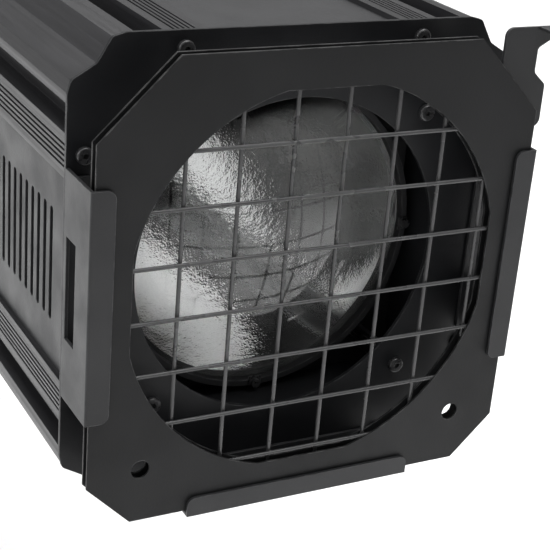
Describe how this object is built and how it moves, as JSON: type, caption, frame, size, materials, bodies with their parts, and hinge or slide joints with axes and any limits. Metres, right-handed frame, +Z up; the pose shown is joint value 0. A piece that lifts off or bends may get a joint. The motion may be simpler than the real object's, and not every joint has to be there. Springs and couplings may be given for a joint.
{
  "type": "follow spot",
  "caption": "Theatre follow spot: square vented housing, colour frame with wire guard, lens, iris, blackout blade, rear handle, on a tilting yoke and stand spigot.",
  "frame": {"origin": "middle of the stand spigot's full-diameter seat, on its axis", "axes": "+Z up along the spigot; the beam leaves along -Y at rest; +X is to the operator's right"},
  "size_m": [0.2928, 0.9045, 0.528],
  "materials": {
    "powder_black": "satin black powder coat",
    "anodised_black": "black anodised extrusion",
    "frame_black": "matt black sheet steel",
    "black_wire": "black coated wire",
    "black_screw": "black oxide steel",
    "inner_black": "matt black, anti-glare",
    "lens_glass": "clear pressed glass",
    "lamp_glass": "clear quartz",
    "bright_steel": "turned steel",
    "iris_steel": "darkened spring steel",
    "reflector_bright": "polished",
    "ceramic": "glazed ceramic",
    "black_plastic": "fine textured",
    "guard_wire": "plated wire",
    "handle_tube": "satin black powder coat",
    "grip_rubber": "ribbed",
    "friction_fibre": "fibre"
  },
  "bodies": {
    "stand_spigot": {"stand_spigot": "bright_steel", "pan_washers": "black_screw", "pan_bolt": "black_screw"},
    "yoke": {"yoke": "powder_black"},
    "housing": {"corner_rail_top_left": "anodised_black", "corner_rail_top_right": "anodised_black", "corner_rail_bottom_left": "anodised_black", "corner_rail_bottom_right": "anodised_black", "front_plate": "powder_black", "rear_plate": "powder_black", "side_panel_left": "powder_black", "side_panel_right": "powder_black", "top_panel": "powder_black", "bottom_panel": "powder_black", "plate_screws": "black_screw", "side_screws": "black_screw", "frame_holder_left": "powder_black", "frame_holder_right": "powder_black", "frame_holder_bottom": "powder_black", "latch_stud": "black_screw", "guide_rods": "bright_steel", "gate_plate": "inner_black", "iris_body": "inner_black", "iris_leaves": "iris_steel", "reflector_plate": "inner_black", "reflector": "reflector_bright", "lamp_glass": "lamp_glass", "lamp_base": "ceramic", "lamp_socket": "ceramic", "lamp_bracket": "bright_steel", "door_hinge": "powder_black", "fan_frame": "black_plastic", "fan_guard": "guard_wire", "power_inlet": "black_plastic", "switch_frame": "black_plastic", "rear_handle": "handle_tube", "handle_grip": "grip_rubber", "safety_bracket": "powder_black", "pivot_plates": "powder_black", "friction_washers": "friction_fibre"},
    "colour_frame": {"colour_frame_front": "frame_black", "colour_frame_back": "frame_black", "wire_guard": "black_wire"},
    "frame_latch": {"frame_latch": "powder_black"},
    "focus_carriage": {"focus_carriage": "inner_black", "front_lens_cell": "inner_black", "front_lens": "lens_glass", "lens_clips": "black_screw"},
    "focus_knob": {"focus_knob": "black_plastic"},
    "zoom_carriage": {"zoom_carriage": "inner_black", "rear_lens": "lens_glass"},
    "zoom_knob": {"zoom_knob": "black_plastic"},
    "iris_ring": {"iris_ring": "iris_steel"},
    "blackout_blade": {"blackout_blade": "iris_steel"},
    "lamp_door": {"lamp_door": "powder_black"},
    "door_catch": {"door_catch": "bright_steel"},
    "fan_rotor": {"fan_rotor": "black_plastic"},
    "switch_rocker": {"switch_rocker": "black_plastic"},
    "tilt_knob_left": {"tilt_knob_left": "black_plastic"},
    "tilt_knob_right": {"tilt_knob_right": "black_plastic"}
  },
  "joints": [
    {"name": "pan", "type": "hinge", "parent": "stand_spigot", "child": "yoke", "pos_m": [0, 0, 0.0625], "axis": [0, 0, 1], "continuous": true},
    {"name": "tilt", "type": "hinge", "parent": "yoke", "child": "housing", "pos_m": [0, 0, 0.2655], "axis": [1, 0, 0], "range_deg": [-45, 45]},
    {"name": "tilt_knob_left_turn", "type": "hinge", "parent": "housing", "child": "tilt_knob_left", "pos_m": [-0.135, 0, 0.2655], "axis": [-1, 0, 0], "range_deg": [0, 360]},
    {"name": "tilt_knob_right_turn", "type": "hinge", "parent": "housing", "child": "tilt_knob_right", "pos_m": [0.135, 0, 0.2655], "axis": [1, 0, 0], "range_deg": [0, 360]},
    {"name": "colour_frame_lift", "type": "slide", "parent": "housing", "child": "colour_frame", "axis": [0, 0, 1], "range_m": [0, 0.16]},
    {"name": "frame_latch_swing", "type": "hinge", "parent": "housing", "child": "frame_latch", "pos_m": [0.098, -0.51125, 0.334], "axis": [0, 1, 0], "range_deg": [-40, 0]},
    {"name": "focus", "type": "slide", "parent": "housing", "child": "focus_carriage", "axis": [0, 1, 0], "range_m": [0, 0.06]},
    {"name": "focus_knob_turn", "type": "hinge", "parent": "focus_carriage", "child": "focus_knob", "pos_m": [0.1195, -0.4477, 0.2275], "axis": [1, 0, 0], "range_deg": [0, 360]},
    {"name": "zoom", "type": "slide", "parent": "housing", "child": "zoom_carriage", "axis": [0, 1, 0], "range_m": [-0.035, 0.045]},
    {"name": "zoom_knob_turn", "type": "hinge", "parent": "zoom_carriage", "child": "zoom_knob", "pos_m": [0.1195, -0.2455, 0.2275], "axis": [1, 0, 0], "range_deg": [0, 360]},
    {"name": "iris", "type": "hinge", "parent": "housing", "child": "iris_ring", "pos_m": [0, 0.009, 0.2655], "axis": [0, 1, 0], "range_deg": [0, 40]},
    {"name": "blackout", "type": "slide", "parent": "housing", "child": "blackout_blade", "axis": [0, 0, 1], "range_m": [-0.062, 0]},
    {"name": "lamp_door_hinge", "type": "hinge", "parent": "housing", "child": "lamp_door", "pos_m": [-0.0475, 0.1985, 0.3784], "axis": [0, -1, 0], "range_deg": [0, 100]},
    {"name": "door_catch_turn", "type": "hinge", "parent": "lamp_door", "child": "door_catch", "pos_m": [0.0365, 0.1985, 0.37325], "axis": [0, 0, -1], "range_deg": [0, 90]},
    {"name": "fan_spin", "type": "hinge", "parent": "housing", "child": "fan_rotor", "pos_m": [0, 0.286, 0.3055], "axis": [0, 1, 0], "continuous": true},
    {"name": "power_switch", "type": "hinge", "parent": "housing", "child": "switch_rocker", "pos_m": [0.05, 0.3, 0.1975], "axis": [1, 0, 0], "range_deg": [-16, 0]}
  ]
}
